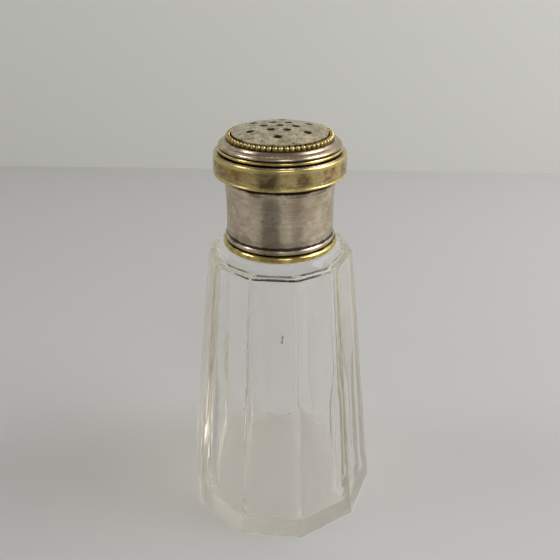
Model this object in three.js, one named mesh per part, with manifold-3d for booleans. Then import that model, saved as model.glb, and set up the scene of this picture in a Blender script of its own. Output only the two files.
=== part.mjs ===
// Sugar caster: a ten-sided cut-crystal bottle with a cemented collar and a pierced screw cap
// Millimetres, +Z up. The origin is the middle of the underside, and one facet faces -Y.

import * as THREE from 'three';
import { mergeVertices } from 'three/addons/utils/BufferGeometryUtils.js';
import Module from 'manifold-3d';

const wasm = await Module();
wasm.setup();

// Running gap between pieces that are soldered, cemented or screwed together
const clearance = 0.3;

// Glass, outside
const facetCount = 10;
const baseCornerRadius = 35;
const baseBevel = 0.7;
const shoulderHeight = 98.3;
const shoulderLedge = 4.05; // from the foot wire to the middle of a shoulder edge
const shoulderBevel = 0.6;
const shoulderBevelHeight = 0.4;
const shoulderRise = 2.2; // from the bevel up to where the collar stands

// Glass, inside: a ten-sided hollow, crisp where it turns in under the shoulder and soft along its walls
const floorThickness = 4.2;
const floorFillet = 1.2;
const wallAtFloor = 6.2;
const wallAtShoulder = 3.2;
const hollowShoulderDepth = 2; // from the shoulder's edge down to where the hollow turns in
const roofFlare = 0.8; // how much wider than the bore the roof ends
const roofFlareHeight = 2.5;
const roofDepth = 0.5; // glass between the roof's end and the collar's seat
const shoulderCornerShare = 0.1; // share of the hollow's radius that rounds its corners
const wallCornerShare = 0.6;
const floorCornerShare = 0.3;

// Glass neck, hidden in the collar
const neckRadius = 14.6;
const neckWall = 2.8;
const neckHeight = 15.4;
const neckRimRound = 0.6;

// Collar
const plasterThickness = 1.05;
const plasterSetback = 1.2; // plaster stops this far below the neck's rim
const sleeveWall = 0.7;
const collarHeight = 23.15;
const footWireHeight = 1.9;
const footWireProud = 1.1;
const footRidgeHeight = 1.5;
const footRidgeProud = 0.6;
const footFlareHeight = 3;
const footFlareProud = 0.25;
const lipHeight = 1.3;
const lipProud = 0.9;
const lipSetback = 0.75; // from the lip's top to the collar's rim
const flareHeight = 6;
const flareProud = 0.55;
const threadRingHeight = 6.2;
const threadRingSetback = 0.35;

// Cap
const linerWall = 0.8;
const linerDepth = 5; // how far the liner screws into the collar
const linerFlange = 2;
const seatRingThickness = 0.7;
const bandHeight = 6.5;
const bandWall = 0.7;
const bandOverhang = 2.7; // the band's face stands this far out of the collar's lip
const rimProud = 0.25;
const topRimHeight = 0.95;
const lowRimHeight = 0.7;
const shellWall = 0.7;
const capShoulderWidth = 4.95; // from the shell's skirt to the dome's edge
const ridgeLift = 0.2; // how far the shell stands over the band's rim, under the ridge wire
const ridgeWireHeight = 1.1;
const ridgeWireProud = 0.75;
const ridgeInset = 0.6; // from the skirt to the ridge wire's crest
const capRoundHeight = 1.2;
const capRoundWidth = 1.8;
const coveHeight = 0.7; // from the round shoulder up to the seat of the beads
const coveWidth = 0.5;
const beadRadius = 0.7;
const beadNeckShare = 0.5;
const beadPitch = 1.634;
const domeThickness = 0.7;
const domeCrown = 1.75;
const ledgeWidth = 1.2;
const ledgeDrop = 0.15; // the dome's seat lies this far under the middle of the beads

// Holes of the dome: one in the middle and two rings
const holeRadius = 1.15;
const holeRings = [
  { radius: 4.8, count: 6, firstTurn: 0.5 },
  { radius: 9.7, count: 6, firstTurn: 0 },
];

const drillMargin = 2; // how far a drill reaches past the dome

// Fineness of the facets, and how near two points are welded
const weldDistance = 1e-4;
const turnSteps = 40;
const stepsPerFacet = 6;
const beadSteps = 4;
const beadSides = 6;
const holeSides = 10;

// Radii that follow from the sizes above, from the neck outwards
const bottleRadii = (() => {
  const bore = neckRadius - neckWall;
  const plasterInner = neckRadius + clearance;
  const plasterOuter = plasterInner + plasterThickness;
  const sleeveInner = plasterOuter + clearance;
  const sleeveOuter = sleeveInner + sleeveWall;
  const footWireInner = sleeveOuter + clearance;
  const footWireOuter = footWireInner + footWireProud;
  const lip = sleeveOuter + lipProud;
  return { bore, plasterInner, plasterOuter, sleeveInner, sleeveOuter, footWireInner, footWireOuter, lip };
})();

const capRadii = (() => {
  const linerOuter = bottleRadii.plasterInner - clearance;
  const linerInner = linerOuter - linerWall;
  const bandOuter = bottleRadii.lip + bandOverhang;
  const bandInner = bandOuter - bandWall;
  const skirt = bandInner - clearance;
  const ridgeInner = skirt - ridgeInset - ridgeWireProud;
  const grooveWall = ridgeInner - clearance;
  const dome = skirt - capShoulderWidth;
  const beadRing = dome + clearance + beadRadius;
  return { linerOuter, linerInner, bandOuter, bandInner, skirt, ridgeInner, grooveWall, dome, beadRing };
})();

// Heights, from the table up
const heights = (() => {
  const bevelTop = shoulderHeight + shoulderBevelHeight;
  const seat = bevelTop + shoulderRise;
  const neckTop = seat + neckHeight;
  const collarFoot = seat + clearance;
  const collarTop = collarFoot + collarHeight;
  const capBase = collarTop + clearance;
  const seatRingTop = capBase + seatRingThickness;
  const skirtFoot = seatRingTop + clearance;
  const bandTop = capBase + bandHeight;
  const ridgeFoot = bandTop + ridgeLift + clearance;
  const roundFoot = ridgeFoot + ridgeWireHeight + clearance;
  const capTop = roundFoot + capRoundHeight;
  const beadSeat = capTop + coveHeight;
  const beadMiddle = beadSeat + clearance + beadRadius;
  const ledge = beadMiddle - ledgeDrop;
  const domeFoot = ledge + clearance;
  return {
    bevelTop, seat, neckTop, collarFoot, collarTop, capBase, seatRingTop, skirtFoot,
    bandTop, ridgeFoot, roundFoot, capTop, beadSeat, beadMiddle, ledge, domeFoot,
  };
})();

// Finishes
function finish(color, roughness, metalness) {
  return new THREE.MeshStandardMaterial({ color, roughness, metalness });
}

const crystal = new THREE.MeshStandardMaterial({
  color: 0xe8e6de, roughness: 0.05, metalness: 0, transparent: true, opacity: 0.35,
});
const plaster = finish(0xd8d2c2, 0.9, 0);
const wornSilver = finish(0xa79e8e, 0.35, 1);
const wornGilt = finish(0xb59d55, 0.3, 1);
const rawBrass = finish(0xa08a50, 0.45, 1);

// Turns a closed section, drawn clockwise as radius and height, about the upright axis
function turnedGeometry(section, curveSteps) {
  const geometry = new THREE.LatheGeometry(section.getPoints(curveSteps).reverse(), turnSteps);
  return geometry.rotateX(Math.PI / 2);
}

function turned(name, material, section, curveSteps = 3) {
  const mesh = new THREE.Mesh(turnedGeometry(section, curveSteps), material);
  mesh.name = name;
  return mesh;
}

// A plain ring of rectangular section
function flatRing(name, material, inner, outer, low, high) {
  const section = new THREE.Path();
  section.moveTo(inner, low);
  section.lineTo(inner, high);
  section.lineTo(outer, high);
  section.lineTo(outer, low);
  section.lineTo(inner, low);
  return turned(name, material, section);
}

// Half-round wire bent into a ring, flat side inwards
function halfRoundWire(name, material, inner, proud, low, height) {
  const section = new THREE.Path();
  section.moveTo(inner, low);
  section.lineTo(inner, low + height);
  section.absellipse(inner, low + height / 2, proud, height / 2, Math.PI / 2, -Math.PI / 2, true);
  return turned(name, material, section);
}

// Outline of a regular polygon whose corners are rounded: distance from the middle at an angle
// from the centre of a side. A round share of 0 is the sharp polygon and of 1 is a circle.
function sideDistance(inRadius, roundShare, angle) {
  const half = Math.PI / facetCount;
  const cornerRound = inRadius * roundShare;
  const straight = inRadius - cornerRound;
  const flatEnd = Math.atan((straight * Math.tan(half)) / inRadius);
  if (angle <= flatEnd) return inRadius / Math.cos(angle);
  const cornerCentre = straight / Math.cos(half);
  const off = half - angle;
  const reach = cornerRound ** 2 - (cornerCentre * Math.sin(off)) ** 2;
  return cornerCentre * Math.cos(off) + Math.sqrt(Math.max(0, reach));
}

// Skins a closed body over rings that run from one point on the axis to another
function skinRings(rings) {
  const around = facetCount * stepsPerFacet;
  const step = (2 * Math.PI) / around;
  const positions = [0, 0, rings[0].z];
  for (const ring of rings) {
    for (let i = 0; i < around; i += 1) {
      const fromSide = Math.abs((i % stepsPerFacet) - stepsPerFacet / 2) * step;
      const distance = sideDistance(ring.inRadius, ring.roundShare, fromSide);
      const turn = i * step - Math.PI / 2 - Math.PI / facetCount;
      positions.push(distance * Math.cos(turn), distance * Math.sin(turn), ring.z);
    }
  }
  positions.push(0, 0, rings[rings.length - 1].z);
  const last = 1 + rings.length * around;
  const faces = [];
  for (let i = 0; i < around; i += 1) {
    const next = (i + 1) % around;
    faces.push(0, 1 + next, 1 + i);
    for (let k = 0; k < rings.length - 1; k += 1) {
      const low = 1 + k * around;
      const high = low + around;
      faces.push(low + i, low + next, high + next, low + i, high + next, high + i);
    }
    const top = last - around;
    faces.push(last, top + i, top + next);
  }
  const geometry = new THREE.BufferGeometry();
  geometry.setAttribute('position', new THREE.Float32BufferAttribute(positions, 3));
  geometry.setIndex(faces);
  geometry.computeVertexNormals();
  return geometry;
}

// The bottle: facets outside, the neck, and the blown hollow, as one run of rings
function glassBody() {
  const sideShare = Math.cos(Math.PI / facetCount);
  const baseSide = baseCornerRadius * sideShare;
  const shoulderSide = bottleRadii.footWireOuter + shoulderLedge;
  const facetAt = (z) => baseSide + ((shoulderSide - baseSide) * z) / shoulderHeight;
  const rings = [];
  const ring = (z, inRadius, roundShare) => rings.push({ z, inRadius, roundShare });

  ring(0, baseSide - baseBevel, 0);
  ring(baseBevel, facetAt(baseBevel), 0);
  ring(shoulderHeight, shoulderSide, 0);
  ring(heights.bevelTop, shoulderSide - shoulderBevel, 0);
  const slopeSteps = 3;
  for (let i = 1; i <= slopeSteps; i += 1) {
    const share = i / slopeSteps;
    const width = shoulderSide - shoulderBevel - bottleRadii.footWireOuter;
    ring(heights.bevelTop + shoulderRise * share, shoulderSide - shoulderBevel - width * share, share);
  }
  ring(heights.seat, neckRadius, 1);
  ring(heights.neckTop - neckRimRound, neckRadius, 1);
  ring(heights.neckTop, neckRadius - neckRimRound, 1);
  ring(heights.neckTop, bottleRadii.bore + neckRimRound, 1);
  ring(heights.neckTop - neckRimRound, bottleRadii.bore, 1);

  const roofTop = heights.seat - roofDepth;
  const roofEnd = bottleRadii.bore + roofFlare;
  ring(roofTop + roofFlareHeight, bottleRadii.bore, 1);
  ring(roofTop, roofEnd, 1);
  const wallTop = shoulderHeight - hollowShoulderDepth;
  const hollowTop = facetAt(wallTop) - wallAtShoulder;
  const roofSteps = 3;
  for (let i = 1; i <= roofSteps; i += 1) {
    const share = i / roofSteps;
    const cornerShare = 1 + (shoulderCornerShare - 1) * share;
    ring(roofTop + (wallTop - roofTop) * share, roofEnd + (hollowTop - roofEnd) * share, cornerShare);
  }
  const wallFoot = floorThickness + floorFillet;
  const hollowFoot = facetAt(wallFoot) - wallAtFloor;
  const wallSteps = 4;
  for (let i = 1; i < wallSteps; i += 1) {
    const share = i / wallSteps;
    const inRadius = hollowTop + (hollowFoot - hollowTop) * share;
    ring(wallTop + (wallFoot - wallTop) * share, inRadius, wallCornerShare);
  }
  const filletSteps = 2;
  for (let i = 0; i <= filletSteps; i += 1) {
    const turn = (i / filletSteps) * (Math.PI / 2);
    const inRadius = hollowFoot - floorFillet * (1 - Math.cos(turn));
    ring(wallFoot - floorFillet * Math.sin(turn), inRadius, floorCornerShare);
  }

  const mesh = new THREE.Mesh(skinRings(rings), crystal);
  mesh.name = 'glass_body';
  return mesh;
}

// Plaster that beds the collar on the glass neck
function neckPlaster() {
  const low = heights.seat + clearance;
  const high = heights.neckTop - plasterSetback;
  return flatRing('neck_plaster', plaster, bottleRadii.plasterInner, bottleRadii.plasterOuter, low, high);
}

// Waisted sleeve with a rolled ridge near its foot and a rolled lip under the cap
function collarSleeve() {
  const { sleeveInner, sleeveOuter } = bottleRadii;
  const { collarFoot, collarTop } = heights;
  const ridgeLow = collarFoot + footWireHeight + clearance;
  const ridgeHigh = ridgeLow + footRidgeHeight;
  const lipHigh = collarTop - lipSetback;
  const lipLow = lipHigh - lipHeight;
  const flared = sleeveOuter + flareProud;
  const footFlared = sleeveOuter + footFlareProud;
  const section = new THREE.Path();
  section.moveTo(sleeveInner, collarFoot);
  section.lineTo(sleeveInner, collarTop);
  section.lineTo(flared, collarTop);
  section.lineTo(flared, lipHigh);
  section.absellipse(flared, (lipLow + lipHigh) / 2, lipProud - flareProud, lipHeight / 2,
    Math.PI / 2, -Math.PI / 2, true);
  section.quadraticCurveTo(sleeveOuter, lipLow - flareHeight / 3, sleeveOuter, lipLow - flareHeight);
  section.lineTo(sleeveOuter, ridgeHigh + footFlareHeight);
  section.quadraticCurveTo(sleeveOuter, ridgeHigh + footFlareHeight / 3, footFlared, ridgeHigh);
  section.absellipse(footFlared, (ridgeLow + ridgeHigh) / 2, footRidgeProud - footFlareProud,
    footRidgeHeight / 2, Math.PI / 2, -Math.PI / 2, true);
  section.lineTo(sleeveOuter, ridgeLow);
  section.lineTo(sleeveOuter, collarFoot);
  section.lineTo(sleeveInner, collarFoot);
  return turned('collar_sleeve', wornSilver, section, 2);
}

function collarFootWire() {
  return halfRoundWire('collar_foot_wire', wornGilt, bottleRadii.footWireInner, footWireProud,
    heights.collarFoot, footWireHeight);
}

// Ring with the inner thread, soldered in the collar above the glass
function collarThreadRing() {
  const high = heights.collarTop - threadRingSetback;
  return flatRing('collar_thread_ring', rawBrass, bottleRadii.plasterInner, bottleRadii.plasterOuter,
    high - threadRingHeight, high);
}

// Washer that closes the cap's underside and comes down on the collar
function capSeatRing() {
  return flatRing('cap_seat_ring', wornSilver, capRadii.linerOuter + clearance, capRadii.skirt,
    heights.capBase, heights.seatRingTop);
}

// Threaded sleeve of the cap, with the flange that is soldered to the seat ring
function capThreadLiner() {
  const low = heights.collarTop - linerDepth;
  const flangeLow = heights.seatRingTop + clearance;
  const flangeHigh = flangeLow + linerWall;
  const flangeOuter = capRadii.linerOuter + linerFlange;
  const section = new THREE.Path();
  section.moveTo(capRadii.linerInner, low);
  section.lineTo(capRadii.linerInner, flangeHigh);
  section.lineTo(flangeOuter, flangeHigh);
  section.lineTo(flangeOuter, flangeLow);
  section.lineTo(capRadii.linerOuter, flangeLow);
  section.lineTo(capRadii.linerOuter, low);
  section.lineTo(capRadii.linerInner, low);
  return turned('cap_thread_liner', rawBrass, section);
}

// Drawn strip round the cap, with a rolled rim along both edges
function capBand() {
  const { bandInner, bandOuter } = capRadii;
  const { capBase, bandTop } = heights;
  const face = bandOuter - rimProud;
  const section = new THREE.Path();
  section.moveTo(bandInner, capBase);
  section.lineTo(bandInner, bandTop);
  section.lineTo(face - rimProud, bandTop);
  section.absellipse(face - rimProud, bandTop - topRimHeight / 2, 2 * rimProud, topRimHeight / 2,
    Math.PI / 2, -Math.PI / 2, true);
  section.lineTo(face, bandTop - topRimHeight);
  section.lineTo(face, capBase + lowRimHeight);
  section.absellipse(face - rimProud, capBase + lowRimHeight / 2, 2 * rimProud, lowRimHeight / 2,
    Math.PI / 2, -Math.PI / 2, true);
  section.lineTo(bandInner, capBase);
  return turned('cap_band', wornGilt, section, 2);
}

// Spun shell: skirt inside the band, groove for the ridge wire, round shoulder, ledge for the dome
function capShell() {
  const { skirt, grooveWall, dome } = capRadii;
  const { skirtFoot, ridgeFoot, roundFoot, capTop, beadSeat, ledge } = heights;
  const grooveFloor = ridgeFoot - clearance;
  const roundOuter = skirt - ridgeInset - ridgeWireProud / 2;
  const coveFoot = roundOuter - capRoundWidth;
  const ledgeOuter = dome - clearance;
  const ledgeInner = ledgeOuter - ledgeWidth;
  const section = new THREE.Path();
  section.moveTo(skirt - shellWall, skirtFoot);
  section.lineTo(skirt - shellWall, grooveFloor - shellWall);
  section.lineTo(grooveWall - shellWall, grooveFloor - shellWall);
  section.lineTo(grooveWall - shellWall, roundFoot);
  section.quadraticCurveTo(grooveWall - shellWall, capTop - shellWall, coveFoot - shellWall, capTop - shellWall);
  section.lineTo(ledgeInner, beadSeat - shellWall);
  section.lineTo(ledgeInner, ledge);
  section.lineTo(ledgeOuter, ledge);
  section.lineTo(ledgeOuter, beadSeat);
  section.lineTo(coveFoot - coveWidth, beadSeat);
  section.quadraticCurveTo(coveFoot - coveWidth, capTop, coveFoot, capTop);
  section.absellipse(coveFoot, roundFoot, capRoundWidth, capRoundHeight, Math.PI / 2, 0, true);
  section.lineTo(grooveWall, roundFoot);
  section.lineTo(grooveWall, grooveFloor);
  section.lineTo(skirt - shellWall / 2, grooveFloor);
  section.lineTo(skirt, grooveFloor - shellWall / 2);
  section.lineTo(skirt, skirtFoot);
  section.lineTo(skirt - shellWall, skirtFoot);
  return turned('cap_shell', wornSilver, section, 3);
}

function capRidgeWire() {
  return halfRoundWire('cap_ridge_wire', wornGilt, capRadii.ridgeInner, ridgeWireProud,
    heights.ridgeFoot, ridgeWireHeight);
}

// Beaded wire round the dome: one tube whose thickness swells at each bead
function capBeadWire() {
  const beadCount = Math.round((2 * Math.PI * capRadii.beadRing) / beadPitch);
  const rings = beadCount * beadSteps;
  const positions = [];
  const faces = [];
  for (let i = 0; i < rings; i += 1) {
    const turn = (i / rings) * 2 * Math.PI - Math.PI / 2;
    const along = ((i % beadSteps) / beadSteps) * 2 - 1;
    const swell = Math.sqrt(1 - along ** 2);
    const thickness = beadRadius * (beadNeckShare + (1 - beadNeckShare) * swell);
    for (let k = 0; k < beadSides; k += 1) {
      const around = (k / beadSides) * 2 * Math.PI;
      const distance = capRadii.beadRing + thickness * Math.cos(around);
      const height = heights.beadMiddle + thickness * Math.sin(around);
      positions.push(distance * Math.cos(turn), distance * Math.sin(turn), height);
      const a = i * beadSides + k;
      const b = i * beadSides + ((k + 1) % beadSides);
      const c = ((i + 1) % rings) * beadSides + k;
      const d = ((i + 1) % rings) * beadSides + ((k + 1) % beadSides);
      faces.push(a, c, d, a, d, b);
    }
  }
  const geometry = new THREE.BufferGeometry();
  geometry.setAttribute('position', new THREE.Float32BufferAttribute(positions, 3));
  geometry.setIndex(faces);
  geometry.computeVertexNormals();
  const mesh = new THREE.Mesh(geometry, wornGilt);
  mesh.name = 'cap_bead_wire';
  return mesh;
}

// A closed geometry as a solid that can be cut
function solidOf(geometry) {
  const bare = new THREE.BufferGeometry();
  bare.setAttribute('position', geometry.getAttribute('position'));
  if (geometry.index) bare.setIndex(geometry.index);
  const merged = mergeVertices(bare, weldDistance);
  return new wasm.Manifold(new wasm.Mesh({
    numProp: 3,
    vertProperties: new Float32Array(merged.getAttribute('position').array),
    triVerts: new Uint32Array(merged.index.array),
  }));
}

function geometryOf(solid) {
  const mesh = solid.getMesh();
  const geometry = new THREE.BufferGeometry();
  geometry.setAttribute('position', new THREE.BufferAttribute(mesh.vertProperties, 3));
  geometry.setIndex(new THREE.BufferAttribute(mesh.triVerts, 1));
  geometry.computeVertexNormals();
  return geometry;
}

// Pierced dome: a shallow spherical cap of even thickness, drilled through
function piercedDome() {
  const edge = capRadii.dome;
  const foot = heights.domeFoot;
  const sphere = (edge ** 2 + domeCrown ** 2) / (2 * domeCrown);
  const sweep = Math.asin(edge / sphere);
  const middle = foot + domeCrown - sphere;
  const section = new THREE.Path();
  section.moveTo(0, middle + domeThickness + sphere);
  section.absarc(0, middle + domeThickness, sphere, Math.PI / 2, Math.PI / 2 - sweep, true);
  section.lineTo(edge, foot);
  section.absarc(0, middle, sphere, Math.PI / 2 - sweep, Math.PI / 2, false);
  let solid = solidOf(turnedGeometry(section, 2));

  const drillReach = domeCrown + domeThickness + drillMargin;
  const drill = new THREE.CylinderGeometry(holeRadius, holeRadius, 2 * drillReach, holeSides);
  drill.rotateX(Math.PI / 2);
  const holes = [{ radius: 0, count: 1, firstTurn: 0 }, ...holeRings];
  for (const { radius, count, firstTurn } of holes) {
    for (let i = 0; i < count; i += 1) {
      const turn = ((i + firstTurn) / count) * 2 * Math.PI - Math.PI / 2;
      const placed = drill.clone().translate(radius * Math.cos(turn), radius * Math.sin(turn), foot);
      solid = solid.subtract(solidOf(placed));
    }
  }
  const mesh = new THREE.Mesh(geometryOf(solid), wornSilver);
  mesh.name = 'pierced_dome';
  return mesh;
}

const caster = new THREE.Group();
caster.add(glassBody(), neckPlaster(), collarSleeve(), collarFootWire(), collarThreadRing());
const cap = new THREE.Group();
cap.add(capSeatRing(), capThreadLiner(), capBand(), capShell(), capRidgeWire(), capBeadWire(), piercedDome());
caster.add(cap);

export default caster;
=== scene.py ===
from math import cos, hypot, pi, radians, sin, sqrt

import bmesh
import bpy
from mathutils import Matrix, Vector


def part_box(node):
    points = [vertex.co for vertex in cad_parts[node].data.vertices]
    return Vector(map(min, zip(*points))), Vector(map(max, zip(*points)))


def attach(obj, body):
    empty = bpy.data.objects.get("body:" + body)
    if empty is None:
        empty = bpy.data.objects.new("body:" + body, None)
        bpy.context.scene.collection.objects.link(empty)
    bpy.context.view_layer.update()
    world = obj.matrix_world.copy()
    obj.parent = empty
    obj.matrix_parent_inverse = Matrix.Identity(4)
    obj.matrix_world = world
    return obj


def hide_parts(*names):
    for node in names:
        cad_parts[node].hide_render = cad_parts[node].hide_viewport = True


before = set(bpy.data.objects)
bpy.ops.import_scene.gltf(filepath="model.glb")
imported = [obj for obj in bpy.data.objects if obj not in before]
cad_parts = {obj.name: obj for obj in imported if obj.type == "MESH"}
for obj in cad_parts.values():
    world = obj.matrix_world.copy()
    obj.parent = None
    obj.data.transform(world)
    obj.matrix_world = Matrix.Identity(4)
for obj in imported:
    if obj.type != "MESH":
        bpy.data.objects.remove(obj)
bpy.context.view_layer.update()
print("frame loaded,", len(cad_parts), "nodes")

mm = 0.001


# Selecting and finishing

def deselectAll():
    if bpy.context.mode != 'OBJECT':
        bpy.ops.object.mode_set(mode='OBJECT')
    bpy.ops.object.select_all(action='DESELECT')


def isAt(co, radius, height):
    # whether a point lies on the ring of this radius and height, in mm
    return abs(hypot(co.x, co.y) / mm - radius) < 1e-3 and abs(co.z / mm - height) < 1e-3


def selectBetween(pairs):
    # in edit mode, selects the edges from one ring of a pair to the other, or along a ring that is
    # paired with itself; a ring is its radius and height
    bpy.ops.mesh.select_mode(type='EDGE')
    bpy.ops.mesh.select_all(action='DESELECT')
    mesh = bmesh.from_edit_mesh(bpy.context.object.data)
    for edge in mesh.edges:
        one, other = edge.verts[0].co, edge.verts[1].co
        for here, there in pairs:
            if isAt(one, *here) and isAt(other, *there) or isAt(other, *here) and isAt(one, *there):
                edge.select = True
    bmesh.update_edit_mesh(bpy.context.object.data)


def extrudeOn(rise, share):
    # extrudes the selected ring this many mm up and scales what it made
    bpy.ops.mesh.extrude_region_move(TRANSFORM_OT_translate={"value": (0, 0, rise * mm)})
    bpy.ops.transform.resize(value=(share, share, 1))


def applyModifier(kind, **settings):
    # adds a modifier to the active piece and applies it at once
    piece = bpy.context.object
    modifier = piece.modifiers.new(kind.title(), kind)
    for name, value in settings.items():
        setattr(modifier, name, value)
    bpy.ops.object.modifier_apply(modifier=modifier.name)


def joinAll(pieces):
    deselectAll()
    for piece in pieces:
        piece.select_set(True)
    bpy.context.view_layer.objects.active = pieces[0]
    bpy.ops.object.join()


def finishPiece(name, body, nodes, material, sharpAngle=30):
    # smooth shading, place held in the mesh, a finish, and a body to ride on
    piece = bpy.context.object
    bpy.ops.object.mode_set(mode='OBJECT')
    bpy.ops.object.transform_apply(location=True, rotation=True, scale=True)
    bpy.ops.object.shade_smooth_by_angle(angle=radians(sharpAngle))
    piece.name = piece.data.name = name
    piece.data.materials.clear()
    piece.data.materials.append(material)
    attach(piece, body)
    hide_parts(*nodes)
    print(name, len(piece.data.polygons), "faces")


# Nodes

def linear(hexColour):
    # sRGB hex to the linear colour that a socket holds
    parts = [int(hexColour[i:i + 2], 16) / 255 for i in (1, 3, 5)]
    return tuple(c / 12.92 if c <= 0.04045 else ((c + 0.055) / 1.055) ** 2.4 for c in parts) + (1.0,)


def feed(owner, socket, value):
    # gives a socket its value, or links it to the socket that feeds it
    if isinstance(value, bpy.types.NodeSocket):
        owner.node_tree.links.new(value, socket)
    else:
        socket.default_value = value


def addNode(owner, kind, settings, inputs):
    # a node of a material or of the world, with its settings and what its inputs get
    node = owner.node_tree.nodes.new(kind)
    for name, value in settings.items():
        setattr(node, name, value)
    for name, value in inputs.items():
        feed(owner, node.inputs[name], value)
    return node


def newMaterial(name):
    material = bpy.data.materials.new(name)
    material.use_nodes = True
    shader = material.node_tree.nodes["Principled BSDF"]
    place = addNode(material, "ShaderNodeTexCoord", {}, {}).outputs["Object"]
    return material, shader, place


def setShader(material, shader, inputs):
    for name, value in inputs.items():
        feed(material, shader.inputs[name], value)


def newMix(material, amount, one, other, blend='MIX'):
    # mixes two colours, or what feeds them, by an amount; its sockets 6 and 7 are the colours
    node = addNode(material, "ShaderNodeMix", {"data_type": 'RGBA', "blend_type": blend}, {
        "Factor": amount, 6: one, 7: other})
    return node.outputs[2]


def mixShaders(material, amount, one, other):
    return addNode(material, "ShaderNodeMixShader", {}, {
        "Fac": amount, 1: one.outputs[0], 2: other.outputs[0]})


def newMath(material, operation, *values):
    return addNode(material, "ShaderNodeMath", {"operation": operation}, dict(enumerate(values))).outputs[0]


def newLength(material, one, other):
    # the long side of a right triangle, given its two short ones
    squares = [newMath(material, 'POWER', side, 2.0) for side in (one, other)]
    return newMath(material, 'SQRT', newMath(material, 'ADD', *squares))


def newRange(material, value, low, high, start=0.0, end=1.0):
    node = addNode(material, "ShaderNodeMapRange", {"interpolation_type": 'SMOOTHSTEP'}, {
        "Value": value, "From Min": low, "From Max": high, "To Min": start, "To Max": end})
    return node.outputs["Result"]


def newNoise(material, place, size, stretch=(1, 1, 1), detail=4.0, offset=0.0, roughness=0.6):
    # noise whose grains are this many mm wide, or that many times longer along an axis; another
    # offset gives another noise
    scaled = addNode(material, "ShaderNodeMapping", {}, {
        "Vector": place, "Location": (offset, offset, offset),
        "Scale": tuple(1 / (size * mm * longer) for longer in stretch)})
    node = addNode(material, "ShaderNodeTexNoise", {}, {
        "Vector": scaled.outputs["Vector"], "Scale": 1.0, "Detail": detail, "Roughness": roughness})
    return node.outputs["Fac"]


# Lead crystal, blown, cut and polished: clear and bright, a little warm where it is thick, so that
# the base looks pale beige, and soft rather than sharp at its worn foot
crystalLook = {
    "ior": 1.52,
    "tint": "#ebe3cc",
    "tintPerMetre": 8.0,
    "shadow": "#eae8e5",  # what is left of a lamp's light behind the glass
    "waveSize": 14.0,  # mm between the slow swells of a hand-cut wall
    "waveStrength": 0.01,
    "waveDepth": 0.1,  # mm
    "footDull": 0.2,  # roughness of the foot, worn matt by standing on tables
    "footDullHeight": 5.5,  # mm up to where the wear ends
}

# The small v-shaped nick on the front facet, as two leaning strokes of dark broken glass
nickLook = {
    "colour": "#2e2a26",
    "aside": 2.9,  # mm, as all sizes here: its foot, to the right of the middle and up
    "height": 77.0,
    "width": 0.2,
    "strokes": [(-0.42, 1.2, 0.95), (0.16, 1.7, 0.95)],  # sideways lean, height, strength
    "footFade": (-0.15, 0.1),
    "topFade": 0.6,
    "front": -20.0,  # only the side of the bottle in front of this has it
}


def makeNick(material, x, y, z):
    # how much of the surface at a place is broken, from 0 to 1
    look = nickLook
    above = newMath(material, 'SUBTRACT', z, look["height"] * mm)
    aside = newMath(material, 'SUBTRACT', x, look["aside"] * mm)
    foot = newRange(material, above, *[edge * mm for edge in look["footFade"]])
    nick = 0.0
    for lean, tall, strength in look["strokes"]:
        middle = newMath(material, 'MULTIPLY', above, lean)
        off = newMath(material, 'ABSOLUTE', newMath(material, 'SUBTRACT', aside, middle))
        stroke = newRange(material, off, look["width"] * mm, 0.0, 0.0, strength)
        top = newRange(material, above, tall * mm, (tall - look["topFade"]) * mm)
        stroke = newMath(material, 'MULTIPLY', newMath(material, 'MULTIPLY', stroke, foot), top)
        nick = newMath(material, 'MAXIMUM', nick, stroke)
    return newMath(material, 'MULTIPLY', nick, newMath(material, 'LESS_THAN', y, look["front"] * mm))


def makeCrystal():
    material, shader, place = newMaterial("polishedCrystal")
    look = crystalLook
    x, y, z = addNode(material, "ShaderNodeSeparateXYZ", {}, {"Vector": place}).outputs
    wave = addNode(material, "ShaderNodeTexNoise", {}, {
        "Vector": place, "Scale": 1 / (look["waveSize"] * mm), "Detail": 1.0})
    bump = addNode(material, "ShaderNodeBump", {}, {
        "Height": wave.outputs["Fac"], "Strength": look["waveStrength"], "Distance": look["waveDepth"] * mm})
    dull = newRange(material, z, 0.0, look["footDullHeight"] * mm, look["footDull"], 0.0)
    setShader(material, shader, {
        "Base Color": (1, 1, 1, 1), "Roughness": dull, "IOR": look["ior"],
        "Transmission Weight": 1.0, "Normal": bump.outputs["Normal"]})
    # lamps shine through the glass on to what is behind it
    shadow = addNode(material, "ShaderNodeLightPath", {}, {}).outputs["Is Shadow Ray"]
    clear = addNode(material, "ShaderNodeBsdfTransparent", {}, {"Color": linear(look["shadow"])})
    broken = addNode(material, "ShaderNodeBsdfDiffuse", {}, {"Color": linear(nickLook["colour"])})
    surface = mixShaders(material, shadow, shader, clear)
    surface = mixShaders(material, makeNick(material, x, y, z), surface, broken)
    tint = addNode(material, "ShaderNodeVolumeAbsorption", {}, {
        "Color": linear(look["tint"]), "Density": look["tintPerMetre"]})
    output = material.node_tree.nodes["Material Output"]
    feed(material, output.inputs["Surface"], surface.outputs[0])
    feed(material, output.inputs["Volume"], tint.outputs[0])
    return material


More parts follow.
